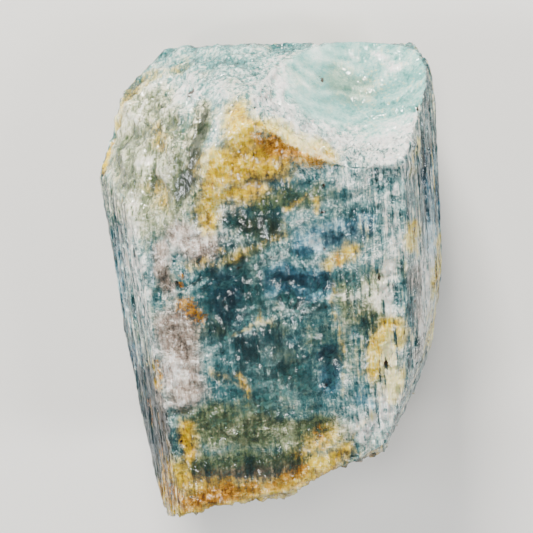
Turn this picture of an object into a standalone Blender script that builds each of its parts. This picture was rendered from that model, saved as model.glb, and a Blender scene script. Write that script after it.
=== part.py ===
"""Aquamarine crystal: one stubby six-sided beryl prism, broken off at both ends.

Metres, +Z up. The crystal lies on its back prism face, with its front prism face up.
+Y runs along the prism (the c axis), from the iron-stained base to the broken top, and
the origin is under the middle of the crystal's box, on the surface that it rests on.
"""

import math

import bmesh
import bpy
from mathutils import Matrix, Vector

NODE = "aquamarine_crystal"
MM = 0.001

# Driving dimensions, in millimetres: the rough block that the crystal is cut from, and
# the rounding that wear has left on its edges.
LENGTH = 33.0
WIDTH = 24.0
THICKNESS = 16.8
BLOCK_SPARE = 6.0
EDGE_WEAR = 0.4
EDGE_WEAR_STEPS = 2
EDGE_WEAR_LEAST_ANGLE = math.radians(12.0)

# Each natural face or break: a point on it in millimetres, then the way that it looks,
# as a compass angle from +X towards +Y and a rise above the horizontal, in degrees.
FACES = {
    "back prism face": ((0.0, 0.0, 0.0), 0.0, -90.0),
    "front prism face": ((0.0, 2.0, THICKNESS), -90.0, 89.2),
    "front left slope": ((-4.6, 0.0, THICKNESS), 183.0, 76.0),
    "upper left prism face": ((-11.4, 4.0, 8.0), 182.6, 24.0),
    "lower left prism face": ((-11.4, 4.0, 8.0), 184.0, -27.0),
    "left flank by the base": ((-10.25, -8.4, 8.5), 188.0, 4.0),
    "upper right prism face": ((12.15, 5.0, 8.5), 1.0, 15.0),
    "front right slope": ((9.4, 2.0, THICKNESS), -5.0, 46.0),
    "lower right prism face": ((12.15, 5.0, 8.5), -1.0, -25.0),
    "right flank, middle": ((11.5, -2.6, 8.5), -10.0, 10.0),
    "right flank by the base": ((9.5, -9.3, 8.5), -21.0, 12.0),
    "lower right flank by the base": ((9.5, -9.3, 8.5), -21.0, -25.0),
    "base break, left": ((-0.6, -14.4, 14.0), -78.0, -3.0),
    "base break, right": ((3.7, -12.3, 14.2), -63.0, -4.0),
    "base bevel, left": ((-1.0, -12.7, THICKNESS), -80.0, 42.0),
    "base bevel, right": ((3.7, -11.0, THICKNESS), -63.0, 44.0),
    "base tip": ((-8.0, -15.4, 15.0), -113.0, 46.0),
    "base heel": ((0.0, -13.4, 3.0), -80.0, -38.0),
    "top break": ((0.0, 16.45, 5.0), 86.5, 7.0),
    "top heel": ((0.0, 16.45, 5.0), 86.5, -24.0),
    "top right corner": ((11.9, 15.1, 4.5), 50.0, 6.0),
    "top right shoulder": ((12.4, 12.5, 6.0), 10.0, 8.0),
    "left shoulder, low": ((-11.6, 10.85, 5.0), 160.0, 12.0),
    "left shoulder, middle": ((-10.5, 12.75, 4.0), 149.0, 20.0),
    "left shoulder, high": ((-8.4, 14.15, 4.0), 127.0, 14.0),
    "left shoulder, top": ((-4.7, 16.2, 4.0), 108.0, 9.0),
    "shoulder slope, inner": ((-3.4, 11.1, THICKNESS), 161.0, 54.0),
    "shoulder slope, outer": ((-9.4, 10.0, 11.4), 152.0, 36.0),
    "shoulder slope, upper": ((-4.6, 15.0, 12.4), 118.0, 36.0),
    "shoulder heel": ((-10.4, 12.75, 4.0), 140.0, -30.0),
}

# Hollows left by shell-shaped breaks: the centre and the three radii, in millimetres, of
# the egg shape that is cut out of the crystal.
HOLLOWS = {
    "top hollow": ((7.6, 35.3, 21.1), (13.4, 25.0, 25.0)),
    "base hollow": ((-2.9, -21.7, 15.0), (7.6, 8.2, 9.0)),
    "base notch": ((6.2, -17.4, 15.0), (6.6, 6.6, 10.0)),
}
HOLLOW_SEGMENTS = 64
HOLLOW_RINGS = 40

# Growth grooves along the prism: the face that they run on, then how far each one is up
# that face from its point and how deep it is, in millimetres.
GROOVES = {
    "upper right prism face": ((-1.1, 0.10), (0.9, 0.16), (2.2, 0.09), (3.7, 0.14), (5.1, 0.10)),
    "lower right prism face": ((-5.6, 0.12), (-3.9, 0.09), (-2.2, 0.14)),
    "upper left prism face": ((1.2, 0.12), (2.5, 0.08), (4.4, 0.15), (6.3, 0.09)),
    "lower left prism face": ((-5.8, 0.10), (-3.4, 0.14), (-1.9, 0.08)),
}
GROOVE_RADIUS = 0.7
GROOVE_SIDES = 16


def facing(compass, rise):
    """The unit vector of a compass angle and a rise, in degrees."""
    flat = math.cos(math.radians(rise))
    return Vector(
        (
            flat * math.cos(math.radians(compass)),
            flat * math.sin(math.radians(compass)),
            math.sin(math.radians(rise)),
        )
    )


def clear_scene():
    for obj in list(bpy.data.objects):
        bpy.data.objects.remove(obj)


def new_object(name, bm, collection):
    """An object in metres from a bmesh in millimetres."""
    bmesh.ops.scale(bm, vec=(MM, MM, MM), verts=bm.verts)
    bmesh.ops.recalc_face_normals(bm, faces=bm.faces)
    mesh = bpy.data.meshes.new(name)
    bm.to_mesh(mesh)
    bm.free()
    obj = bpy.data.objects.new(name, mesh)
    collection.objects.link(obj)
    return obj


def cut_block():
    """The rough block with every face cut on it."""
    bm = bmesh.new()
    sides = [side + 2 * BLOCK_SPARE for side in (WIDTH, LENGTH, THICKNESS)]
    place = Matrix.Translation((0.0, 0.0, THICKNESS / 2)) @ Matrix.Diagonal((*sides, 1.0))
    bmesh.ops.create_cube(bm, size=1.0, matrix=place)
    for point, compass, rise in FACES.values():
        cut = bmesh.ops.bisect_plane(
            bm,
            geom=bm.verts[:] + bm.edges[:] + bm.faces[:],
            plane_co=point,
            plane_no=facing(compass, rise),
            clear_outer=True,
        )
        rim = [piece for piece in cut["geom_cut"] if isinstance(piece, bmesh.types.BMEdge)]
        if rim:
            bmesh.ops.contextual_create(bm, geom=rim)
    return bm


def hollow_egg(centre, radii):
    bm = bmesh.new()
    place = Matrix.Translation(centre) @ Matrix.Diagonal((*radii, 1.0))
    bmesh.ops.create_uvsphere(
        bm, u_segments=HOLLOW_SEGMENTS, v_segments=HOLLOW_RINGS, radius=1.0, matrix=place
    )
    return bm


def groove_rods(face, places):
    """Round rods along one prism face, each sunk into it by the depth of its groove."""
    point, compass, rise = FACES[face]
    out = facing(compass, rise)
    along = facing(compass + 90.0, 0.0)
    up = out.cross(along)
    bm = bmesh.new()
    for distance, depth in places:
        middle = Vector(point) + up * distance + out * (GROOVE_RADIUS - depth)
        turn = Matrix((up, out, along)).transposed().to_4x4()
        bmesh.ops.create_cone(
            bm,
            cap_ends=True,
            segments=GROOVE_SIDES,
            radius1=GROOVE_RADIUS,
            radius2=GROOVE_RADIUS,
            depth=LENGTH + 4 * BLOCK_SPARE,
            matrix=Matrix.Translation(middle) @ turn,
        )
    return bm


def cut_away(crystal, name, bm, collection):
    """Cuts a shape out of the crystal, and keeps the shape as a hidden cutter."""
    cutter = new_object(name, bm, collection)
    cutter.hide_render = True
    cutter.display_type = "WIRE"
    cut = crystal.modifiers.new(name, "BOOLEAN")
    cut.operation = "DIFFERENCE"
    cut.solver = "EXACT"
    cut.object = cutter
    return cutter


def box_middle(obj):
    """The middle of an object's box after its modifiers, on the ground."""
    bpy.context.view_layer.update()
    shape = obj.evaluated_get(bpy.context.evaluated_depsgraph_get())
    corners = [Vector(corner) for corner in shape.bound_box]
    low, high = (
        [pick(corner[axis] for corner in corners) for axis in range(2)] for pick in (min, max)
    )
    return Vector(((low[0] + high[0]) / 2, (low[1] + high[1]) / 2, 0.0))


def beryl():
    material = bpy.data.materials.new("aquamarine")
    material.use_nodes = True
    shader = material.node_tree.nodes["Principled BSDF"]
    shader.inputs["Base Color"].default_value = (0.16, 0.38, 0.40, 1.0)
    shader.inputs["Roughness"].default_value = 0.32
    shader.inputs["IOR"].default_value = 1.577
    return material


def main():
    clear_scene()
    crystals = bpy.data.collections.new("aquamarine crystal")
    cutters = bpy.data.collections.new("cutters")
    for collection in (crystals, cutters):
        bpy.context.scene.collection.children.link(collection)

    crystal = new_object(NODE, cut_block(), crystals)
    crystal.data.materials.append(beryl())
    wear = crystal.modifiers.new("worn edges", "BEVEL")
    wear.width = EDGE_WEAR * MM
    wear.segments = EDGE_WEAR_STEPS
    wear.limit_method = "ANGLE"
    wear.angle_limit = EDGE_WEAR_LEAST_ANGLE

    pieces = [crystal]
    for face, places in GROOVES.items():
        rods = groove_rods(face, places)
        pieces.append(cut_away(crystal, f"grooves, {face}", rods, cutters))
    for name, (centre, radii) in HOLLOWS.items():
        pieces.append(cut_away(crystal, name, hollow_egg(centre, radii), cutters))

    to_origin = Matrix.Translation(-box_middle(crystal))
    for piece in pieces:
        piece.data.transform(to_origin)


main()
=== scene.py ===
import math
import random

import bmesh
import bpy
import numpy as np
from mathutils import Matrix, Vector, noise
from mathutils.bvhtree import BVHTree


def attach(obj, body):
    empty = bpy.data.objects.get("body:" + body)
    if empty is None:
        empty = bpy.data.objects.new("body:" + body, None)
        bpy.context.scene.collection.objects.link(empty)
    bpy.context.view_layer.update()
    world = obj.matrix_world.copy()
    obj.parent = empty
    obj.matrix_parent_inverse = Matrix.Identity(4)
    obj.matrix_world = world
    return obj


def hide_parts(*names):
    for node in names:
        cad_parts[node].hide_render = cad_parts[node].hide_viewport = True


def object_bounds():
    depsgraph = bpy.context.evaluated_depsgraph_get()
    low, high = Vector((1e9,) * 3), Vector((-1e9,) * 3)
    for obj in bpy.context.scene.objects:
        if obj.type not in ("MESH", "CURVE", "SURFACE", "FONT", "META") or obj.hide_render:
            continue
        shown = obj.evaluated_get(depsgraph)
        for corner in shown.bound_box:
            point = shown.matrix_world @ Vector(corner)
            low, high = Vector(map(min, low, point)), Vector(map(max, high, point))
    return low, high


mm = 0.001
crystalNode = "aquamarine_crystal"
noise.seed_set(14)  # without a seed, noise_vector differs from run to run

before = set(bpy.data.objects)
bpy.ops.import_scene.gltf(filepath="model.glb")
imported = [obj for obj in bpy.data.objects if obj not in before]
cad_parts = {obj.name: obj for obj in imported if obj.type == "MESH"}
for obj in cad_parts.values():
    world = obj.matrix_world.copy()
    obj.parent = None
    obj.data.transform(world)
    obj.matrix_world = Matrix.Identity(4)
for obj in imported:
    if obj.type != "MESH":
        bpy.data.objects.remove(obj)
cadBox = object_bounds()
print("frame loaded")


class Wire:  # one output socket: + - and * on wires add Math nodes

    def __init__(self, paint, socket):
        self.paint = paint
        self.socket = socket

    def math(self, operation, *others):
        values = dict(enumerate((self, *others)))
        return self.paint.add("ShaderNodeMath", {"operation": operation}, values)

    def __add__(self, other):
        return self.math("ADD", other)

    def __radd__(self, other):
        return self.math("ADD", other)

    def __sub__(self, other):
        return self.math("SUBTRACT", other)

    def __rsub__(self, other):
        return self.paint.add("ShaderNodeMath", {"operation": "SUBTRACT"}, {0: other, 1: self})

    def __mul__(self, other):
        return self.math("MULTIPLY", other)

    def __rmul__(self, other):
        return self.math("MULTIPLY", other)

    def size(self):
        return self.math("ABSOLUTE")

    def most(self, other):
        return self.math("MAXIMUM", other)


class Paint:  # one material and its nodes

    def __init__(self, name):
        self.material = bpy.data.materials.new(name)
        self.material.use_nodes = True
        self.tree = self.material.node_tree
        self.tree.nodes.clear()
        self.output = self.tree.nodes.new("ShaderNodeOutputMaterial")

    def add(self, kind, settings=None, inputs=None, out=0):
        node = self.tree.nodes.new(kind)
        for name, value in (settings or {}).items():
            if name == "stops":
                ramp = node.color_ramp
                while len(ramp.elements) < len(value):
                    ramp.elements.new(1.0)
                for element, (place, colour) in zip(ramp.elements, value):
                    element.position = place
                    element.color = colour
            else:
                setattr(node, name, value)
        for name, value in (inputs or {}).items():
            if isinstance(value, Wire):
                self.tree.links.new(value.socket, node.inputs[name])
            else:
                node.inputs[name].default_value = value
        return Wire(self, node.outputs[out])

    def finish(self, surface, volume=None):
        self.tree.links.new(surface.socket, self.output.inputs["Surface"])
        if volume:
            self.tree.links.new(volume.socket, self.output.inputs["Volume"])
        return self.material

    def vector(self, operation, first, second, out=0):
        return self.add("ShaderNodeVectorMath", {"operation": operation}, {0: first, 1: second}, out)

    def millimetres(self):  # the piece's own coordinates, in millimetres
        place = self.add("ShaderNodeTexCoord", out="Object")
        scale = {0: place, "Scale": 1.0 / mm}
        return self.add("ShaderNodeVectorMath", {"operation": "SCALE"}, scale)

    def stretched(self, place, size, turn=0.0):  # turned about Z, in degrees
        sockets = {"Vector": place, "Scale": size, "Rotation": (0.0, 0.0, math.radians(turn))}
        return self.add("ShaderNodeMapping", None, sockets)

    def grain(self, place, scale, detail, roughness, distortion=0.0):
        sockets = {"Vector": place, "Scale": scale, "Detail": detail, "Roughness": roughness,
                   "Distortion": distortion}
        return self.add("ShaderNodeTexNoise", None, sockets)

    def cells(self, place, scale, out="Distance"):
        sockets = {"Vector": place, "Scale": scale}
        return self.add("ShaderNodeTexVoronoi", {"feature": "F1"}, sockets, out)

    def facets(self, place, scale):  # height in mm of broken cells, each a plane with its own tilt
        away = self.vector("SUBTRACT", place, self.cells(place, scale, "Position"))
        tilt = self.vector("SUBTRACT", self.cells(place, scale, "Color"), (0.5, 0.5, 0.5))
        return self.vector("DOT_PRODUCT", away, tilt, "Value")

    def ramp(self, value, low, high):  # 0 below low, 1 above high, smooth between
        sockets = {"Value": value, "From Min": low, "From Max": high}
        return self.add("ShaderNodeMapRange", {"interpolation_type": "SMOOTHSTEP"}, sockets)

    def field(self, name):  # a value kept on the mesh's points
        return self.add("ShaderNodeAttribute", {"attribute_name": name}, None, "Fac")

    def blend(self, share, first, second):  # between two wires
        return first + share * (second - first)

    def colours(self, value, colours):  # evenly spaced colours along a value from 0 to 1
        stops = [(index / (len(colours) - 1), colour) for index, colour in enumerate(colours)]
        return self.add("ShaderNodeValToRGB", {"stops": stops}, {0: value})

    def mix(self, share, first, second):
        settings = {"data_type": "RGBA", "clamp_factor": True}
        return self.add("ShaderNodeMix", settings, {0: share, 6: first, 7: second}, 2)


def rgb(red, green, blue):  # a screen colour from 0 to 255, made linear
    def linear(part):
        part /= 255.0
        return part / 12.92 if part <= 0.04045 else ((part + 0.055) / 1.055) ** 2.4
    return (linear(red), linear(green), linear(blue), 1.0)


def smooth(low, high, value):  # 0 below low, 1 above high, smooth between
    share = min(1.0, max(0.0, (value - low) / (high - low)))
    return share * share * (3.0 - 2.0 * share)


def climb(values, low, high):  # the same for arrays, and straight between
    return np.clip((values - low) / (high - low), 0.0, 1.0)


studio = {
    "floorSize": 1.2,
    "floorColour": rgb(226, 225, 221),
    "floorPaleColour": rgb(232, 231, 228),
    "floorRoughness": 0.75,
    "worldColour": rgb(240, 243, 248),
    "worldStrength": 0.3,
    "target": (-0.27 * mm, -0.29 * mm, 8.5 * mm),
    "distance": 0.150,
    "tilt": 20.0,              # degrees from straight down, towards the broken top
    "yaw": 5.0,
    "roll": 4.5,
    "slideRight": -0.385 * mm,
    "slideUp": 0.945 * mm,
    "sensor": 36.0,
    "clipStart": 0.005,        # m, nothing nearer to the camera shows
    "field": 37.3 * mm,        # width seen at the target
    "pixels": 533,             # across and down the view
}


def viewAxes():  # the camera's right, up and backward directions
    tilt, yaw, roll = (math.radians(studio[angle]) for angle in ("tilt", "yaw", "roll"))
    back = Vector((math.sin(yaw), math.sin(tilt) * math.cos(yaw), math.cos(tilt) * math.cos(yaw)))
    back.normalize()
    up = Vector((0.0, 1.0, 0.0))
    up = (up - back * up.dot(back)).normalized()
    right = up.cross(back)
    rolledRight = right * math.cos(roll) - up * math.sin(roll)
    rolledUp = up * math.cos(roll) + right * math.sin(roll)
    return rolledRight, rolledUp, back


def eyePlace():  # where the camera stands, in mm
    right, up, back = viewAxes()
    target = Vector(studio["target"]) + right * studio["slideRight"] + up * studio["slideUp"]
    return (target + back * studio["distance"]) / mm


def inView(points):  # where points in mm show, in pixels of the view from its upper left
    right, up, back = (np.array(axis) for axis in viewAxes())
    sight = points - np.array(eyePlace())
    middle = studio["pixels"] / 2
    scale = studio["pixels"] * studio["distance"] / studio["field"] / -(sight @ back)
    return np.stack([middle + sight @ right * scale, middle - sight @ up * scale], axis=1)


crystal = {
    "cell": 0.2,             # mm, cells of the fine mesh
    "inset": 0.1,            # mm, how far the skin starts inside the CAD surface
    "restHeights": (0.1, 0.5),  # mm above the rest face: as cut below the first, all relief above
    "groove": 0.16,          # mm, growth striations on the steep prism faces
    "lump": 0.42,            # mm, etch hills on the left shoulder
    "crush": 0.30,           # mm, crushed rim of the top hollow
    "ripple": 0.04,          # mm, shell ripples in the top hollow
    "rubble": 0.35,          # mm, grains of the broken base
    "frontEtch": 0.20,       # mm, shallow etching on the front face
    "ledges": 5.0,           # steps of the etching in one swing of its noise
    "grooveStretch": (0.7, 0.07, 1.9),  # waves per mm across, along and up
    "lumpStretch": (0.62, 0.42, 0.5),
    "ledgeStretch": (0.5, 0.28, 0.5),
    "hollowCentre": (7.33, 35.0, 21.1),
    "hollowRadii": (13.4, 25.0, 25.0),
    "shellCentre": (6.5, 17.0, 6.0),  # mm, where the fracture's ripples start
    "shellStretch": (1.0, 1.2, 1.1),
    "rippleRate": 4.2,       # radians per mm
    "crushedRim": ((11.6, 14.2), (1.0, 3.4)),  # mm, heights and widths that its roughness grows over
    "frostedRim": ((12.2, 14.2), (0.4, 2.6)),  # mm, the same for its frost
    "shoulderCentre": (-8.4, 12.0, 11.0),
    "shoulderReach": (6.4, 6.2, 8.0),
    "fibreSide": (4.5, 7.5),  # mm to the right, where the frost turns to upright fibres
    "slantSide": (0.0, 3.0),  # mm to the right, where slanted fibres end in the hollow
    "warp": 14.0,            # pixels, how far the marks' edges wander
    "markFacing": (0.02, 0.12),  # cosines to the view, where the marks fade in
    "markHeights": (2.0, 4.0),  # mm above the rest face, where the marks fade in
    "crestLight": 0.7,       # painted light and shade: how much paler the crests are painted than the hollows
    "crestRange": (-0.4, 0.3),  # mm, relief that still changes the painted shade
    "tone": {                # what makes the surface paler, or darker
        "plain": 0.31, "drift": 0.25, "bright": 0.42, "clear": -0.24, "stain": 0.15,
        "shoulder": 0.23, "hollow": 0.28, "base": 0.14, "top": 0.06,
    },
    "busy": {                # what makes its texture stronger, or weaker
        "plain": 0.68, "bright": 0.5, "clear": -0.38, "stain": 0.2, "away": 0.2,
        "flank": 0.35, "shoulder": -0.12, "top": 0.05,
    },
    "noises": {              # stretch per mm, turn in degrees, detail, roughness, distortion
        "mottle": ((0.9, 0.9, 0.9), 0, 7.0, 0.74, 0.0),
        "grain": ((6.0, 6.0, 6.0), 0, 3.0, 0.75, 0.0),
        "upright": ((4.2, 0.30, 4.2), 3, 4.0, 0.64, 0.0),
        "slanted": ((4.2, 0.4, 2.4), -22, 4.0, 0.6, 0.0),
        "crumbs": ((3.6, 2.2, 3.4), 0, 5.0, 0.74, 0.5),
        "wander": ((1.5, 0.5, 1.2), 8, 5.0, 0.62, 0.6),
        "across": ((0.45, 1.3, 1.0), -24, 5.0, 0.62, 0.6),
        "swell": ((1.1, 1.1, 1.1), 0, 1.5, 0.5, 0.0),
        "fold": ((2.6, 0.35, 2.6), 3, 1.5, 0.5, 0.0),
    },
    "facets": (((1.2, 0.6, 1.2), 1.0), ((1.0, 0.5, 1.0), 3.2)),  # stretch and scale, broad and sharp
    "colours": {             # each coat, from its darkest tone to its palest
        "teal": (rgb(26, 66, 72), rgb(54, 98, 102), rgb(106, 144, 144), rgb(172, 198, 192),
                 rgb(255, 255, 250)),
        "azure": (rgb(20, 58, 80), rgb(46, 96, 122), rgb(92, 148, 172), rgb(150, 202, 222),
                  rgb(206, 236, 252)),
        "olive": (rgb(36, 56, 40), rgb(82, 98, 66), rgb(136, 146, 110), rgb(206, 208, 172),
                  rgb(252, 250, 232)),
        "dusty": (rgb(48, 54, 52), rgb(113, 101, 90), rgb(170, 153, 138), rgb(218, 207, 194),
                  rgb(255, 253, 250)),
        "gold": (rgb(92, 68, 0), rgb(166, 127, 0), rgb(220, 180, 0), rgb(242, 208, 36),
                 rgb(255, 240, 158)),
        "brown": (rgb(40, 22, 2), rgb(120, 74, 8), rgb(180, 124, 26), rgb(226, 178, 70),
                  rgb(250, 230, 176)),
        "aqua": (rgb(10, 96, 96), rgb(52, 146, 142), rgb(112, 192, 184), rgb(186, 232, 222),
                 rgb(255, 255, 255)),
    },
    # colour of the painted glint specks
    "glintColour": rgb(250, 251, 247),
    "pitColour": rgb(46, 26, 8),
    "windowColour": rgb(170, 238, 242),
    "ior": 1.577,
    "absorbColour": rgb(64, 190, 204),
    "absorbDensity": 140.0,
}

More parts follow.
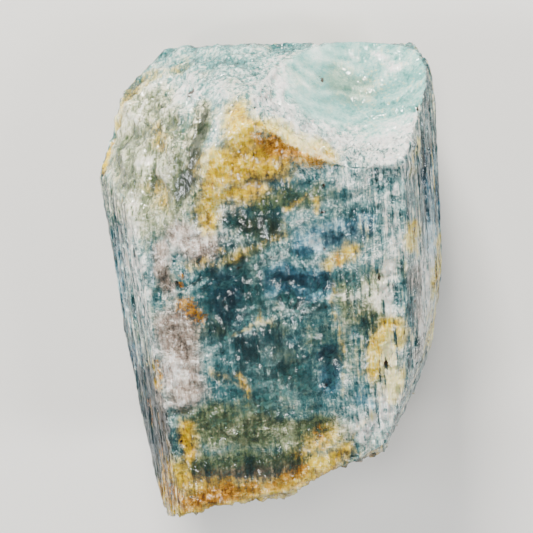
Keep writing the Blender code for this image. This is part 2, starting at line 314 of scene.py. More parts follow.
# Marks on the side that the camera sees, as strokes: points in pixels of its view, across and down
# from the upper left, then half the width in pixels and the strength.
marks = {
    "bright": {
        "white line down the left of the face":
            (((181, 195), (184, 224), (182, 252), (179, 262)), 3, 0.8),
        # painted highlights: the left edge, down its lower half too, and the left side painted paler
        # where the light catches them
        "painted highlight down the left edge": (((128, 200), (135, 250), (145, 300)), 5, 1.1),
        "its lower half": (((145, 300), (163, 391), (175, 460)), 4, 0.5),
        "glow of the left side": (((116, 200), (128, 250), (142, 290)), 8, 1.1),
        "white patch under the stain": (((218, 230), (232, 236)), 8, 0.9),
        "smooth frost at upper left": (((175, 232), (206, 250)), 18, 0.65),
        "frost down the left": (((174, 312), (184, 380)), 20, 0.36),
        "frost ending in a ledge": (((168, 402), (204, 396)), 5, 0.4),
        "grey veil": (((262, 264), (284, 258)), 9, 0.55),
        "knot of threads": (((270, 312), (286, 317)), 4, 0.5),
        "short bright thread": (((296, 293), (311, 289), (323, 294)), 1.8, 0.8),
        "veil between the gold lines": (((290, 222), (304, 212)), 8, 0.35),
        "frost at upper right": (((386, 206), (396, 245)), 14, 0.55),
        "frost under the ridge": (((305, 168), (350, 180), (395, 172)), 11, 0.6),
        "white knot": (((391, 266), (390, 305)), 8, 1.3),
        "core of the right stain": (((387, 342), (390, 372), (396, 396)), 7, 1.4),
        "pale edge of the right stain": (((402, 340), (404, 385)), 7, 0.6),
        "pale spot by the small window": (((345, 380), (349, 408)), 8, 0.6),
        "white lower right": (((396, 396), (364, 430)), 16, 1.3),
        "lower right edge": (((425, 370), (385, 440)), 8, 0.5),
        "bright edge of the stain": (((188, 197), (203, 165), (215, 130), (222, 100)), 3, 0.8),
        "crushed rim": (((268, 102), (300, 124), (335, 142), (372, 146), (405, 130)), 17, 1),
        "top left frost": (((180, 84), (275, 74)), 24, 0.95),
        "lobe beside the crushed rim": (((388, 160), (402, 168)), 8, 0.55),
        "fibres on the shoulder": (((207, 78), (196, 108), (181, 165)), 4, 0.8),
        # painted highlights: shines painted paler on the shoulder's hills
        "shine on the shoulder": (((140, 90), (150, 86)), 6, 1),
        "second shine": (((135, 116), (143, 104)), 5, 1),
        "third shine": (((140, 166), (148, 162)), 4, 1.1),
        "shine down the shoulder": (((181, 100), (174, 130), (166, 165), (160, 180)), 3, 0.9),
        "more fibres": (((172, 112), (150, 205)), 4, 0.35),
        "white shoulder": (((142, 92), (120, 132)), 8, 0.4),
        # painted highlights: two light-blue glints painted into the face
        "blue glint": (((312, 238), (316, 250)), 5, 1.1),
        "second glint": (((345, 228), (350, 234)), 4, 1),
        "frost at the foot": (((352, 430), (384, 424)), 9, 0.8),
        "right edge streaks": (((412, 120), (420, 170)), 4, 0.7),
        "veil below the stain": (((235, 252), (262, 244), (280, 238)), 5, 0.3),
        "pale ground under the stain": (((203, 206), (232, 214)), 11, 0.7),
        "pale ground left of the window": (((168, 256), (196, 254), (234, 268)), 9, 0.65),
        "upper teal frost": (((322, 208), (350, 204), (392, 190)), 8, 0.5),
        "band over the blue window": (((300, 266), (338, 268)), 6, 0.5),
        "veil over the window": (((165, 297), (215, 283)), 3.5, 0.9),
        "long veil": (((225, 342), (262, 326), (330, 300), (372, 290)), 2.5, 0.8),
        "chips on the fracture": (((370, 50), (395, 66)), 3, 0.7),
        "chip": (((352, 50), (357, 54)), 3, 0.7),
        "right side frost": (((430, 232), (430, 290), (425, 345)), 8, 1),
    },
    "clear": {
        "middle of the face": (((235, 235), (250, 300), (275, 370), (262, 400)), 34, 0.75),
        "upper right of the face": (((290, 196), (330, 206), (368, 228)), 12, 0.45),
        "middle right": (((328, 240), (368, 230)), 11, 0.8),
        "green window": (((246, 225), (266, 229)), 14, 1),
        "left window": (((226, 288), (230, 318)), 17, 1),
        "blue window": (((262, 284), (325, 284)), 12, 0.85),
        "window under the short thread": (((278, 304), (318, 308)), 11, 0.95),
        "large window": (((250, 350), (282, 378)), 24, 1),
        "left edge of the large window": (((210, 330), (246, 340), (246, 372)), 11, 0.9),
        "window between the veils": (((280, 248), (312, 250)), 8, 0.65),
        "gap in the right frost": (((408, 260), (411, 285)), 6, 0.8),
        "dark of the foot": (((296, 442), (325, 432)), 8, 0.6),
        "small blue window": (((327, 360), (327, 382)), 10, 1),
        "lower window": (((292, 366), (294, 385)), 18, 0.6),
        "olive depth": (((200, 425), (255, 430)), 15, 0.6),
        "dark band beside the stain": (((199, 110), (190, 150), (180, 194)), 10, 1),
        "olive hollow": (((152, 128), (156, 144)), 10, 0.75),
        "lower olive hollow": (((150, 184), (160, 198)), 10, 0.75),
        "hollow by the rim": (((118, 150), (122, 185)), 8, 0.5),
        "upper olive hollow": (((150, 104), (170, 92)), 8, 0.4),
        "thin hollow": (((176, 118), (168, 160)), 4, 0.5),
        "dark line": (((201, 266), (216, 259), (239, 254)), 2.5, 1),
        "lower dark line": (((172, 287), (195, 286), (212, 277)), 3, 0.9),
        "dark step under the frost": (((166, 415), (192, 410)), 5, 0.8),
        "right side": (((428, 150), (430, 250)), 7, 0.5),
        "base": (((180, 480), (240, 474), (300, 460)), 14, 0.9),
        "lower left side": (((146, 380), (156, 460)), 16, 1.6),
        "right wedge": (((350, 280), (370, 318)), 14, 0.75),
        "small hole in the frost": (((232, 105), (240, 92)), 5, 0.5),
    },
    "stain": {
        "cap": (((238, 116), (240, 140)), 17, 1.1),
        "body of the cap": (((220, 170), (268, 160)), 23, 1.15),
        "right wing": (((285, 148), (324, 154)), 14, 1.05),
        "upper edge of the wing": (((248, 122), (272, 130), (298, 140)), 9, 1.1),
        "left foot": (((204, 190), (208, 222)), 12, 1),
        "lower edge": (((215, 203), (262, 190)), 10, 0.95),
        "diagonal veil": (((214, 270), (230, 260), (253, 247), (282, 233)), 5, 0.5),
        "gold line": (((283, 215), (293, 205), (309, 194)), 3, 0.75),
        "upright gold line": (((318, 198), (319, 217)), 2.5, 0.7),
        "gold knot": (((330, 268), (340, 260), (354, 248)), 7, 0.8),
        "gold oval": (((413, 225), (413, 246)), 6, 1),
        "right stain": (((388, 326), (375, 346), (376, 374)), 10, 1),
        "right stain's far side": (((396, 320), (402, 346)), 7, 0.85),
        "right stain's foot": (((401, 374), (392, 404)), 6, 0.7),
        "cream core of the right stain": (((387, 342), (390, 372), (394, 394)), 8, 0.75),
        "line at the break": (((333, 275), (335, 320), (342, 400)), 2.5, 0.5),
        "short upright line": (((258, 297), (261, 324)), 1.6, 0.55),
        "vein": (((228, 338), (257, 327), (270, 323)), 2, 0.5),
        "small gold patch": (((240, 382), (248, 392)), 6, 0.7),
        "pale gold patch": (((218, 376), (228, 380)), 7, 0.45),
        "veil to the left": (((186, 264), (212, 268)), 7, 0.5),
        "gold by the foot": (((187, 430), (187, 458)), 9, 1.1),
        "tip": (((164, 496), (184, 512)), 13, 1.2),
        "side of the tip": (((166, 478), (170, 508)), 8, 0.8),
        "lower edge of the base": (((190, 512), (240, 503), (300, 491), (340, 472)), 6, 0.8),
        "base rim": (((168, 466), (198, 492), (250, 492), (300, 478), (345, 452)), 12, 0.85),
        "streak beside the left edge": (((154, 360), (154, 386)), 3, 0.9),
        "shoulder window": (((152, 128), (156, 144)), 9, 0.55),
        "second shoulder window": (((150, 186), (160, 200)), 10, 0.55),
        "left rim": (((102, 140), (104, 168)), 5, 1),
        "upper left rim": (((106, 130), (124, 98), (150, 74), (182, 60)), 6, 0.55),
        "right rim": (((441, 240), (440, 300), (430, 345)), 6, 0.8),
        "speck": (((222, 248), (226, 250)), 5, 0.7),
        "olive foot": (((300, 455), (332, 438)), 10, 0.65),
        "thread": (((376, 402), (352, 440)), 3, 0.5),
        "rust by the ridge": (((420, 140), (412, 165)), 3, 0.6),
    },
    "rust": {
        "rusty wing": (((272, 146), (322, 161)), 13, 1.1),
        "rusty cap": (((254, 136), (264, 150)), 9, 0.85),
        "red grains": (((186, 308), (195, 318)), 10, 0.95),
        "drop": (((176, 281), (176, 286)), 2.5, 1),
        "upper drop": (((179, 269), (179, 276)), 2, 1),
        "tip rim": (((168, 492), (190, 502), (230, 496)), 11, 1.15),
        "side of the tip": (((164, 470), (168, 505)), 6, 0.8),
        "base rust": (((236, 492), (262, 488), (304, 470)), 8, 0.85),
        "spot in the gold knot": (((339, 260), (343, 264)), 4, 0.9),
        "foot spot": (((318, 434), (321, 448)), 4, 0.7),
        "brown edge": (((158, 360), (162, 390)), 4, 0.9),
        "lower left streak": (((150, 400), (158, 455)), 3, 0.7),
        "streak in the stain": (((209, 182), (209, 190)), 2.5, 0.9),
    },
    "pit": {
        "on the gold line": (((320, 218), (328, 215)), 1.6, 1),
        "by the white knot": (((381, 276), (380, 283)), 1.4, 1),
        "on the left frost": (((202, 318), (204, 322)), 1.4, 1),
        "foot": (((181, 441), (185, 444)), 1.6, 1),
        "upper": (((320, 186), (326, 189)), 1.5, 1),
        "corner": (((414, 100), (414, 106)), 2, 1),
        "fracture": (((321, 75), (325, 78)), 1.3, 1),
        "core": (((385, 363), (388, 367)), 1.5, 1),
        "shoulder": (((187, 91), (189, 93)), 1.3, 1),
        "diagonal veil": (((273, 256), (275, 258)), 1.3, 1),
        "second on the veil": (((239, 268), (241, 271)), 1.3, 1),
        "in the stain": (((247, 146), (251, 160)), 1.4, 0.8),
        "at the break": (((327, 310), (329, 314)), 1.3, 1),
    },
    "chalk": {
        "lower left side": (((156, 370), (164, 450)), 6, 0.8),
        "base": (((180, 485), (300, 470)), 10, 0.6),
        "pinkish frost": (((175, 325), (186, 388)), 21, 1),
        "tip": (((160, 460), (170, 510)), 9, 0.6),
        "base rim": (((200, 506), (250, 498), (335, 472)), 8, 0.75),
        "upper pinkish frost": (((180, 236), (206, 250)), 18, 0.95),
        "beige edge": (((160, 250), (165, 290)), 9, 0.8),
        "under the stain": (((240, 213), (215, 222)), 8, 0.45),
        "right side": (((418, 270), (420, 360)), 8, 0.6),
    },
    "blue": {
        "blue window": (((280, 284), (318, 284)), 17, 0.9),
        "left window": (((226, 290), (232, 318)), 18, 0.8),
        "small blue window": (((327, 360), (327, 384)), 12, 1),
        "middle right": (((305, 242), (335, 238)), 14, 1),
        "upper blue": (((345, 230), (366, 228)), 12, 0.9),
        "right side": (((430, 160), (436, 250)), 10, 0.8),
        "left side": (((116, 230), (122, 330)), 9, 0.6),
        "lower left side": (((134, 350), (152, 455)), 9, 1.1),
        "lower right": (((362, 395), (372, 405)), 8, 0.7),
        "face": (((240, 330), (300, 350)), 24, 0.45),
    },
    "green": {
        "green window": (((246, 225), (266, 228)), 20, 0.6),
        "olive depth": (((200, 428), (262, 428)), 24, 0.95),
        "foot": (((285, 438), (335, 432)), 18, 0.9),
        "shoulder": (((140, 120), (150, 195)), 44, 1.2),
        "middle of the fracture": (((340, 76), (362, 88)), 19, 0.9),
        "beside the break": (((345, 290), (350, 318)), 12, 0.7),
        "dark band": (((199, 112), (190, 150), (180, 194)), 13, 1),
        "diagonal veil": (((230, 260), (265, 245)), 8, 0.8),
        "corner": (((410, 165), (414, 172)), 6, 0.9),
        "top left": (((230, 80), (250, 100)), 14, 0.5),
        "under the stain": (((262, 206), (315, 196)), 15, 0.7),
        "right front": (((376, 285), (382, 375)), 22, 0.75),
        "base": (((170, 470), (310, 462)), 18, 0.8),
    },
    "rise": {
        "lip of the crushed rim":
            (((262, 110), (300, 136), (335, 152), (372, 156), (410, 142)), 6, 0.35),
        "left edge": (((135, 250), (145, 300), (163, 391), (172, 440)), 3, 0.2),
        "lobe": (((385, 158), (402, 166)), 9, 0.3),
        "shoulder hill": (((134, 110), (150, 96)), 10, 0.35),
        "hill by the rim": (((126, 150), (134, 176)), 8, 0.3),
        "long shoulder hill": (((176, 110), (166, 150), (158, 172)), 7, 0.35),
        "stain cap": (((232, 120), (228, 170), (212, 192)), 13, 0.22),
        "right block": (((350, 290), (360, 380), (362, 420)), 22, 0.2),
        "frosty block": (((178, 320), (190, 390)), 26, 0.2),
        "right shoulder": (((405, 190), (412, 260), (410, 330)), 8, 0.15),
    },
    "sink": {
        "under the ridge": (((262, 186), (330, 172), (395, 172)), 8, 0.2),
        "dark band": (((200, 112), (190, 150), (181, 190)), 9, 0.25),
        "shoulder hollow": (((170, 122), (160, 150), (146, 205)), 5, 0.35),
        "small shoulder hollow": (((152, 128), (156, 144)), 8, 0.4),
        "lower shoulder hollow": (((150, 184), (160, 198)), 9, 0.4),
        "blue window": (((282, 284), (328, 284)), 10, 0.1),
        "left window": (((224, 285), (230, 318)), 12, 0.1),
        "small window": (((327, 360), (327, 382)), 8, 0.15),
        "dark line": (((201, 266), (216, 259), (239, 254)), 3, 0.12),
        "lower dark line": (((168, 288), (195, 286), (212, 277)), 3, 0.12),
        "pit on the fracture": (((322, 75), (325, 78)), 3.5, 0.2),
        "pit at the corner": (((414, 103), (414, 105)), 5, 0.5),
        "dark pit": (((201, 316), (204, 322)), 3, 0.25),
        "white knot pit": (((381, 276), (380, 282)), 3, 0.25),
        "step under the frost": (((166, 415), (192, 410)), 5, 0.3),
        "foot": (((285, 440), (335, 432)), 10, 0.25),
    },
}


def markShare(kind, spots):  # the strongest mark at each spot
    share = np.zeros(len(spots))
    for points, reach, strength in marks[kind].values():
        far = np.full(len(spots), np.inf)
        for start, end in zip(points, points[1:]):
            start, way = np.array(start), np.array(end) - np.array(start)
            along = np.clip(((spots - start) @ way) / (way @ way), 0.0, 1.0)
            far = np.minimum(far, np.linalg.norm(spots - start - along[:, None] * way, axis=1))
        share = np.maximum(share, strength * np.exp(-0.8 * (far / reach) ** 2))
    return share


def farAway(place, middle, reach):  # from a place to a middle, where 1 is the reach
    return math.hypot(*((at - mid) / size for at, mid, size in zip(place, middle, reach)))


def regions(place, normal):  # how much a point belongs to each part of the crystal
    offHollow = abs(farAway(place, crystal["hollowCentre"], crystal["hollowRadii"]) - 1.0)
    hollow = (1.0 - smooth(0.006, 0.02, offHollow)) * smooth(0.2, 0.5, normal.y)
    offShoulder = farAway(place, crystal["shoulderCentre"], crystal["shoulderReach"])
    shoulder = smooth(0.35, 0.6, 1.0 - smooth(0.4, 1.2, offShoulder))
    shoulder *= 1.0 - smooth(0.9, 0.99, normal.z)
    return {
        "front": smooth(0.86, 0.97, normal.z),
        "hollow": hollow,
        "base": smooth(0.45, 0.75, -normal.y),
        "shoulder": shoulder,
        "flank": smooth(0.55, 0.8, abs(normal.x)) * (1.0 - shoulder),
        "top": smooth(0.6, 0.85, normal.y) * (1.0 - hollow),
    }


def stretch(place, scales):
    return Vector([at * scale for at, scale in zip(place, scales)])


def cloud(place, smoothness, octaves, lacunarity=2.0):
    return noise.fractal(place, smoothness, lacunarity, octaves)


def ridges(place, smoothness, lacunarity):
    octaves, offset, gain = 4, 1.0, 2.0
    return noise.ridged_multi_fractal(place, smoothness, lacunarity, octaves, offset, gain)


def rimShare(place, heights, widths):  # 1 on the hollow's rough rim, along its lower and left edge
    rise = place.z + 1.3 * noise.noise(place * 0.8) - 0.12 * (place.x - 7.0)
    side = place.x + noise.noise(place * 0.9)
    return max(smooth(*heights, rise), 1.0 - smooth(*widths, side))


def flankRelief(place, fine):  # growth striations
    groove = ridges(stretch(place, crystal["grooveStretch"]), 0.9, 2.1) - 1.2
    return crystal["groove"] * min(0.5, -groove) + 0.05 * fine - 0.05


def shoulderRelief(place, fine, coarse):  # etch hills
    lumps = ridges(stretch(place, crystal["lumpStretch"]), 0.8, 2.2) - 1.3
    return crystal["lump"] * (0.55 * lumps + 0.35 * coarse - 0.35) + 0.10 * fine


def hollowRelief(place):  # shell ripples, and the crushed rim
    offset = place - Vector(crystal["shellCentre"])
    shell = stretch(offset, crystal["shellStretch"]).length + 1.1 * noise.noise(place * 0.5)
    ripples = crystal["ripple"] * math.sin(shell * crystal["rippleRate"]) - 0.06
    crushed = crystal["crush"] * (cloud(place * 1.5, 0.6, 4, 2.1) - 0.3)
    rim = rimShare(place, *crystal["crushedRim"])
    return ripples + rim * (crushed - ripples)


def frontRelief(place, fine):  # shallow etched ledges
    level = cloud(stretch(place, crystal["ledgeStretch"]), 0.9, 4) * crystal["ledges"]
    steps = (math.floor(level) + smooth(0.75, 1.0, level % 1.0)) / crystal["ledges"]
    return crystal["frontEtch"] * (steps * 1.4 - 0.4 + 0.35 * fine)


def relief(place, part):  # height in mm along the normal: mostly inwards
    fine = cloud(place * 2.2, 0.8, 3)
    coarse = cloud(place * 0.55, 1.0, 3)
    heights = {
        "flank": flankRelief(place, fine),
        "shoulder": shoulderRelief(place, fine, coarse),
        "hollow": hollowRelief(place) if part["hollow"] > 0.0 else 0.0,
        "top": 0.25 * coarse + 0.10 * fine - 0.2,
        "base": crystal["rubble"] * (cloud(place * 1.3, 0.6, 4, 2.2) - 0.45),
        "front": frontRelief(place, fine),
    }
    return sum(part[name] * height for name, height in heights.items())


def slowNoises(place):  # two drifts of colour, how the marks' edges wander, and the frosted rim
    drift = cloud(place * 0.33 + Vector((11.0, 3.0, 7.0)), 0.9, 3)
    other = cloud(place * 0.27 + Vector((-5.0, 9.0, 2.0)), 0.9, 3)
    wander = noise.noise_vector(place * 0.6) * 0.5 + noise.noise_vector(place * 1.9) * 0.25
    return drift, other, wander.x, wander.y, rimShare(place, *crystal["frostedRim"])


def seenShare(points, facing):  # 1 where the camera sees a point, 0 round the back and low down
    sight = points - np.array(eyePlace())
    cosine = -(sight * facing).sum(axis=1) / np.linalg.norm(sight, axis=1)
    return climb(cosine, *crystal["markFacing"]) * climb(points[:, 2], *crystal["markHeights"])


def fields(places, normals, parts):  # each point's finish as shares, and the height of its marks
    drift, other, wanderX, wanderY, rim = np.array([slowNoises(place) for place in places]).T
    part = {name: np.array([one[name] for one in parts]) for name in parts[0]}
    points = np.array(places)
    seen = seenShare(points, np.array(normals))
    spots = inView(points) + np.stack([wanderX, wanderY], axis=1) * crystal["warp"]
    mark = {kind: markShare(kind, spots) * seen for kind in marks}
    away, base = 1.0 - seen, part["base"]
    unmarked = {
        "stain": np.maximum(away * np.clip(other * 1.4, 0.0, 0.62),
                            base * np.clip(0.42 + 0.5 * drift, 0.0, 0.7)),
        "rust": away * np.clip(other * 1.2 - 0.25, 0.0, 0.7),
        "green": 0.20 + 0.35 * other + away * 0.15,
        "chalk": np.maximum(away * np.clip(0.3 + drift, 0.0, 0.6), base * 0.7),
        "blue": away * np.clip(0.2 - drift, 0.0, 0.8) * (1.0 - base),
        "clear": away * np.clip(0.35 + 0.5 * other, 0.0, 0.8),
        "pit": np.zeros(len(points)),
    }
    share = {kind: np.maximum(mark[kind], plain) for kind, plain in unmarked.items()}
    share["fibre"] = np.maximum(part["flank"], climb(points[:, 0], *crystal["fibreSide"]))
    left = 1.0 - climb(points[:, 0], *crystal["slantSide"])
    share["slant"] = np.clip(part["shoulder"] + part["top"] + part["hollow"] * left, 0.0, 1.0)
    share["calm"] = 0.8 * part["hollow"] * (1.0 - rim)
    source = {**mark, **part, "away": away, "drift": drift, "plain": 1.0}
    for name, (least, most) in {"tone": (0.0, 1.2), "busy": (0.2, 1.4)}.items():
        total = sum(source[cause] * weight for cause, weight in crystal[name].items())
        share[name] = np.clip(total, least, most)
    return share, mark["rise"] - mark["sink"]


def paintedReliefShade(heights, share):  # painted light and shade: the relief's crests painted paler and its hollows darker, and the calm hollow's ripples too
    rough = np.clip(heights + 0.1, *crystal["crestRange"]) * (1.0 - share["calm"])
    rough *= 1.0 + 0.3 * share["slant"]
    rippled = (heights + 0.05) * share["calm"] * 3.5
    return (rough + rippled) * crystal["crestLight"]


def fineMesh(name, node):  # a copy of a CAD node's mesh in even cells
    bm = bmesh.new()
    bm.from_mesh(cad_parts[node].data)
    bmesh.ops.remove_doubles(bm, verts=bm.verts, dist=1e-6)
    mesh = bpy.data.meshes.new(name)
    bm.to_mesh(mesh)
    bm.free()
    obj = bpy.data.objects.new(name, mesh)
    bpy.context.scene.collection.objects.link(obj)
    cells = obj.modifiers.new("even cells", "REMESH")
    cells.mode = "VOXEL"
    cells.voxel_size = crystal["cell"] * mm
    shape = obj.evaluated_get(bpy.context.evaluated_depsgraph_get())
    obj.data = bpy.data.meshes.new_from_object(shape)
    obj.modifiers.clear()
    return obj


def makeCrystal():
    obj = fineMesh("crystal_skin", crystalNode)
    mesh = obj.data
    low, high = cadBox
    places = [vertex.co / mm for vertex in mesh.vertices]
    normals = [vertex.normal.copy() for vertex in mesh.vertices]
    parts = [regions(place, normal) for place, normal in zip(places, normals)]
    shares, markHeights = fields(places, normals, parts)
    heights = np.array([relief(place, part) for place, part in zip(places, parts)])
    # painted shade in the relief's hollows and painted light on its crests, added to the tone
    shares["tone"] += paintedReliefShade(heights, shares)
    heights += markHeights - crystal["inset"]
    for vertex, place, normal, height in zip(mesh.vertices, places, normals, heights):
        settled = smooth(*crystal["restHeights"], place.z)
        moved = vertex.co + normal * (float(height) * settled * mm)
        vertex.co = [min(top, max(bottom, at)) for at, bottom, top in zip(moved, low, high)]
    for kind, values in shares.items():
        attribute = mesh.attributes.new(kind, "FLOAT", "POINT")
        attribute.data.foreach_set("value", values.astype(np.float32))
    mesh.shade_smooth()
    mesh.materials.clear()
    mesh.materials.append(berylMaterial())
    print("crystal:", len(mesh.vertices), "points")
    return obj


def berylNoises(paint, place):
    return {name: paint.grain(paint.stretched(place, size, turn), 1.0, detail, roughness, distortion)
            for name, (size, turn, detail, roughness, distortion) in crystal["noises"].items()}


def berylTexture(paint, waves, fibre, slant):  # light and dark, about -0.6 to 0.6
    upright = waves["upright"]
    plain = waves["crumbs"] * 0.55 + upright * 0.45
    streak = paint.blend(slant, paint.blend(fibre, plain, upright), waves["slanted"])
    texture = (paint.ramp(waves["mottle"], 0.30, 0.70) - 0.5) * 0.42
    texture = texture + (paint.ramp(streak, 0.34, 0.66) - 0.5) * 0.52
    texture = texture + (paint.ramp(waves["grain"], 0.30, 0.70) - 0.5) * 0.20
    texture = texture - (1.0 - paint.ramp(upright, 0.36, 0.45)) * fibre * 0.36
    return texture + paint.ramp(upright, 0.56, 0.64) * fibre * 0.32


def berylTone(paint, waves, texture, busy, calm):  # 0 is a coat's darkest colour and 1 its palest
    level = paint.field("tone")
    threads = 1.0 - paint.ramp((waves["wander"] - 0.5).size(), 0.002, 0.012)
    threads = threads + 1.0 - paint.ramp((waves["across"] - 0.5).size(), 0.002, 0.012)
    curl = 1.0 - paint.ramp((waves["crumbs"] - 0.5).size(), 0.004, 0.03)
    lines = (curl * 0.08 + threads * 0.55) * (0.18 + level) * (1.0 - calm)
    silk = (waves["upright"] - 0.5) * paint.field("clear") * 0.7
    return level + texture * busy * (1.0 - calm * 0.8) + lines + silk


def berylCoats(paint, texture, grain):  # how much of each coat shows
    speckle = grain - 0.5
    return {
        "stain": paint.ramp(paint.field("stain") + texture * 0.65, 0.12, 1.05),
        "rust": paint.ramp(paint.field("rust") + speckle * 1.6 + texture * 0.6, 0.40, 1.0),
        "green": paint.ramp(paint.field("green") + texture * 0.5, 0.2, 0.8),
        "chalk": paint.ramp(paint.field("chalk") + texture * 0.4, 0.2, 0.8),
        "blue": paint.ramp(paint.field("blue") + texture * 0.3, 0.2, 0.8),
        "clear": paint.ramp(paint.field("clear") - texture * 0.6, 0.1, 1.0),
        "pit": paint.ramp(paint.field("pit") + speckle * 1.2, 0.35, 0.75),
    }


def berylColour(paint, tone, coat, calm, slant):
    shade = {name: paint.colours(tone, colours) for name, colours in crystal["colours"].items()}
    blueGreen = paint.mix(coat["blue"] * 0.75, shade["teal"], shade["azure"])
    colour = paint.mix(coat["green"], blueGreen, shade["olive"])
    fresh = (calm * (1.0 - coat["green"] * 0.45)).most(slant * (1.0 - coat["green"]) * 0.45)
    colour = paint.mix(fresh, colour, shade["aqua"])
    colour = paint.mix(coat["chalk"], colour, shade["dusty"])
    colour = paint.mix(coat["stain"], colour, shade["gold"])
    return paint.mix(coat["rust"], colour, shade["brown"])


def berylHeight(paint, place, waves, fibre, busy, calm):  # the finest relief, in mm
    broad, sharp = (paint.facets(paint.stretched(place, size), scale)
                    for size, scale in crystal["facets"])
    height = (waves["swell"] - 0.5) * (0.05 + busy * 0.48) + broad * (0.06 + busy * 0.42)
    height = height + (waves["fold"] - 0.5) * (fibre * 0.33 + busy * 0.12 + 0.03)
    height = height + sharp * 1.15 * busy * busy
    return height * (1.0 - calm * 0.7) + (waves["grain"] - 0.5) * 0.012


def berylMaterial():
    paint = Paint("frosted beryl")
    place = paint.millimetres()
    fibre, slant, calm, busy = (paint.field(name) for name in ("fibre", "slant", "calm", "busy"))
    waves = berylNoises(paint, place)
    texture = berylTexture(paint, waves, fibre, slant)
    tone = berylTone(paint, waves, texture, busy, calm)
    coat = berylCoats(paint, texture, waves["grain"])
    colour = berylColour(paint, tone, coat, calm, slant)
    # painted highlights: white glint specks painted into the colour where the texture is busy, and
    # kept out of the see-through windows
    specks = paint.cells(paint.stretched(place, (1.0, 0.6, 1.0)), 1.3)
    glint = (1.0 - paint.ramp(specks, 0.02, 0.09)) * (1.0 - calm) * paint.ramp(busy, 0.4, 1.0)
    colour = paint.mix(glint * 0.9, colour, crystal["glintColour"])
    dots = 1.0 - paint.ramp(paint.cells(paint.stretched(place, (1.0, 0.8, 1.0)), 0.5), 0.03, 0.09)
    colour = paint.mix((dots * 0.9 * (1.0 - calm)).most(coat["pit"]), colour, crystal["pitColour"])
    height = berylHeight(paint, place, waves, fibre, busy, calm)
    bump = paint.add("ShaderNodeBump", None, {"Strength": 1.0, "Distance": mm, "Height": height})
    crust = paint.add("ShaderNodeBsdfPrincipled", None, {
        "Base Color": colour, "Roughness": coat["clear"] * 0.08 + 0.1, "IOR": crystal["ior"],
        "Normal": bump, "Transmission Weight": 0.3, "Subsurface Weight": 0.3,
        "Subsurface Radius": (0.5, 1.0, 1.0), "Subsurface Scale": mm,
    })
    window = paint.add("ShaderNodeBsdfPrincipled", None, {
        "Base Color": crystal["windowColour"], "Roughness": 0.12, "IOR": crystal["ior"],
        "Normal": bump, "Transmission Weight": 1.0,
    })
    opening = (coat["clear"] * 0.6 + 0.04) * (1.0 - coat["stain"] * 0.8) * (1.0 - coat["rust"])
    opening = opening * (1.0 - glint) * (1.0 - paint.ramp(tone, 0.45, 0.7))
    surface = paint.add("ShaderNodeMixShader", None, {0: opening, 1: crust, 2: window})
    volume = paint.add("ShaderNodeVolumeAbsorption", None,
                       {"Color": crystal["absorbColour"], "Density": crystal["absorbDensity"]})
    return paint.finish(surface, volume)


skin = makeCrystal()
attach(skin, "root")
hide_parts(crystalNode)


sealed = {
    "margin": 0.7,           # mm kept to the crystal's surface
    "flecks": 200,
    "fleckSize": (0.04, 0.16),
    "tubes": 90,             # growth tubes along the crystal's length
    "tubeLength": (1.2, 6.0),
    "tubeWidth": 0.035,
    "veilTop": 15.9,         # mm, height of the veils' upper edges
    "veilCells": (36, 10),   # along and down each veil
    "veilFilm": (rgb(226, 232, 214), 1.6, 0.75),  # colour, patches per mm, cover
    "fleckFilm": (rgb(206, 216, 206), 0.6, 1.6),
    "low": (-7.5, -12.5, 9.5),  # mm, corners of the space that the flecks fill
    "high": (9.0, 11.5, 16.0),
    "seed": 14,
}
veils = {  # the line of the upper edge in mm, how far it goes down, its lean along Y
    "diagonal veil": (((-6.2, 2.2), (-3.2, 2.8), (-0.2, 4.4), (5.6, 7.8)), 4.5, -0.5),
    "long veil": (((-3.0, -1.6), (-0.8, -0.4), (4.2, 1.0), (7.4, 1.6)), 4.0, 0.35),
    "upper veil": (((-3.6, 7.0), (0.4, 8.4), (5.4, 9.4), (8.6, 9.2)), 5.0, -0.35),
    "foot veil": (((-4.6, -8.2), (-0.4, -6.8), (4.6, -5.8)), 4.5, 0.5),
    "upright veil": (((-0.9, -5.2), (-0.6, -1.0), (-0.4, 3.0), (0.2, 6.4)), 3.5, 0.0),
    "right veil": (((4.0, -6.0), (4.5, -1.0), (4.7, 3.8)), 4.5, 0.0),
}


def deepInside(tree, place):  # whether a point in mm keeps its margin to the surface
    hit, normal, index, far = tree.find_nearest(place * mm)
    return far > sealed["margin"] * mm and (place * mm - hit).dot(normal) < 0.0


def innerMaterial(name, colour, patchScale, cover):  # a film in patches, more of it with more cover
    paint = Paint(name)
    place = paint.millimetres()
    film = paint.grain(place, patchScale, 5.0, 0.7, 0.6)
    alpha = paint.ramp(film, 0.62 - cover * 0.2, 0.70 - cover * 0.2)
    shader = paint.add("ShaderNodeBsdfPrincipled", None,
                       {"Base Color": colour, "Roughness": 0.35, "Alpha": alpha})
    return paint.finish(shader)


def makeVeils(tree):
    bm = bmesh.new()
    columns, rows = sealed["veilCells"]
    for line, depth, lean in veils.values():
        sheet = bmesh.ops.create_grid(bm, x_segments=columns, y_segments=rows, size=0.5)["verts"]
        for vertex in sheet:
            along = (vertex.co.x + 0.5) * (len(line) - 1)
            step = min(int(along), len(line) - 2)
            start, end = Vector(line[step]), Vector(line[step + 1])
            spot = start.lerp(end, along - step)
            down = (0.5 - vertex.co.y) * depth
            place = Vector((spot.x, spot.y + lean * down, sealed["veilTop"] - down))
            wave = noise.noise_vector(place * 0.45) * 0.7 + noise.noise_vector(place * 1.4) * 0.2
            vertex.co = (place + Vector((wave.x, wave.y, 0.0))) * mm
    outside = [vertex for vertex in bm.verts if not deepInside(tree, vertex.co / mm)]
    bmesh.ops.delete(bm, geom=outside, context="VERTS")
    return finishInner(bm, "veils", innerMaterial("healed veils", *sealed["veilFilm"]))


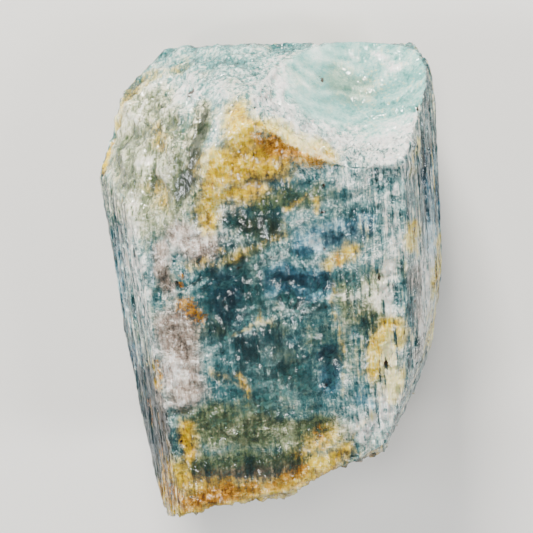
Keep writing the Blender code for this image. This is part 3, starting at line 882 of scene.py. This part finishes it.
def makeFlecks(tree):
    chance = random.Random(sealed["seed"])
    low, high = sealed["low"], sealed["high"]
    bm = bmesh.new()
    made = 0
    while made < sealed["flecks"] + sealed["tubes"]:
        place = Vector([chance.uniform(bottom, top) for bottom, top in zip(low, high)])
        if not deepInside(tree, place):
            continue
        if made < sealed["flecks"]:
            size = chance.uniform(*sealed["fleckSize"]) * mm
            disc = bmesh.ops.create_circle(bm, cap_ends=True, segments=6, radius=size)["verts"]
            turn = Matrix.Rotation(chance.uniform(0, math.pi), 4, "X")
            turn = Matrix.Rotation(chance.uniform(0, math.tau), 4, "Z") @ turn
            bmesh.ops.transform(bm, matrix=Matrix.Translation(place * mm) @ turn, verts=disc)
        else:
            reach = chance.uniform(*sealed["tubeLength"])
            ends = (place + Vector((0, reach / 2, 0)), place - Vector((0, reach / 2, 0)))
            if all(deepInside(tree, end) for end in ends):
                tube = bmesh.ops.create_cube(bm, size=1.0)["verts"]
                wide = sealed["tubeWidth"] * mm
                bmesh.ops.scale(bm, vec=(wide, reach * mm, wide), verts=tube)
                bmesh.ops.translate(bm, vec=place * mm, verts=tube)
        made += 1
    return finishInner(bm, "flecks", innerMaterial("bright flecks", *sealed["fleckFilm"]))


def finishInner(bm, name, material):
    mesh = bpy.data.meshes.new(name)
    bm.to_mesh(mesh)
    bm.free()
    mesh.materials.append(material)
    obj = bpy.data.objects.new(name, mesh)
    bpy.context.scene.collection.objects.link(obj)
    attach(obj, "root")
    print(name + ":", len(mesh.polygons), "faces")
    return obj


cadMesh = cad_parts[crystalNode].data
shell = BVHTree.FromPolygons([vertex.co for vertex in cadMesh.vertices],
                             [face.vertices for face in cadMesh.polygons])
makeVeils(shell)
makeFlecks(shell)


lamps = {  # place and size in m, power in W, colour
    "key_softbox": ((-0.03, 0.29, 0.13), 0.07, 2.8, rgb(255, 250, 242)),
    "left_softbox": ((-0.26, 0.03, 0.13), 0.08, 0.45, rgb(246, 250, 255)),
    "right_softbox": ((0.26, -0.05, 0.14), 0.08, 0.45, rgb(246, 250, 255)),
    "upper_spark": ((0.00, 0.13, 0.27), 0.05, 0.30, rgb(255, 252, 246)),
    "left_spark": ((-0.19, -0.02, 0.24), 0.05, 0.24, rgb(255, 252, 246)),
    "right_spark": ((0.19, -0.02, 0.24), 0.05, 0.24, rgb(255, 252, 246)),
}


def makeFloor():
    bm = bmesh.new()
    bmesh.ops.create_grid(bm, x_segments=4, y_segments=4, size=studio["floorSize"] / 2)
    mesh = bpy.data.meshes.new("floor")
    bm.to_mesh(mesh)
    bm.free()
    paint = Paint("pale floor")
    place = paint.millimetres()
    soft = paint.grain(place, 0.03, 4.0, 0.6)
    colour = paint.mix(soft, studio["floorColour"], studio["floorPaleColour"])
    shader = paint.add("ShaderNodeBsdfPrincipled", None,
                       {"Base Color": colour, "Roughness": studio["floorRoughness"]})
    mesh.materials.append(paint.finish(shader))
    floor = bpy.data.objects.new("floor", mesh)
    bpy.context.scene.collection.objects.link(floor)


def makeLamps():
    for name, (place, size, power, colour) in lamps.items():
        light = bpy.data.lights.new(name, "AREA")
        light.size = size
        light.energy = power
        light.color = colour[:3]
        lamp = bpy.data.objects.new(name, light)
        lamp.location = place
        lamp.rotation_euler = Vector(place).to_track_quat("Z", "Y").to_euler()
        bpy.context.scene.collection.objects.link(lamp)
    world = bpy.data.worlds.new("studio")
    world.use_nodes = True
    background = world.node_tree.nodes["Background"]
    background.inputs["Color"].default_value = studio["worldColour"]
    background.inputs["Strength"].default_value = studio["worldStrength"]
    bpy.context.scene.world = world


def makeCamera():
    data = bpy.data.cameras.new("camera")
    data.sensor_width = studio["sensor"]
    data.lens = studio["sensor"] * studio["distance"] / studio["field"]
    data.clip_start = studio["clipStart"]
    camera = bpy.data.objects.new("camera", data)
    turn = Matrix(viewAxes()).transposed().to_4x4()
    camera.matrix_world = Matrix.Translation(eyePlace() * mm) @ turn
    bpy.context.scene.collection.objects.link(camera)
    bpy.context.scene.camera = camera


makeFloor()
makeLamps()
makeCamera()
print("studio ready")
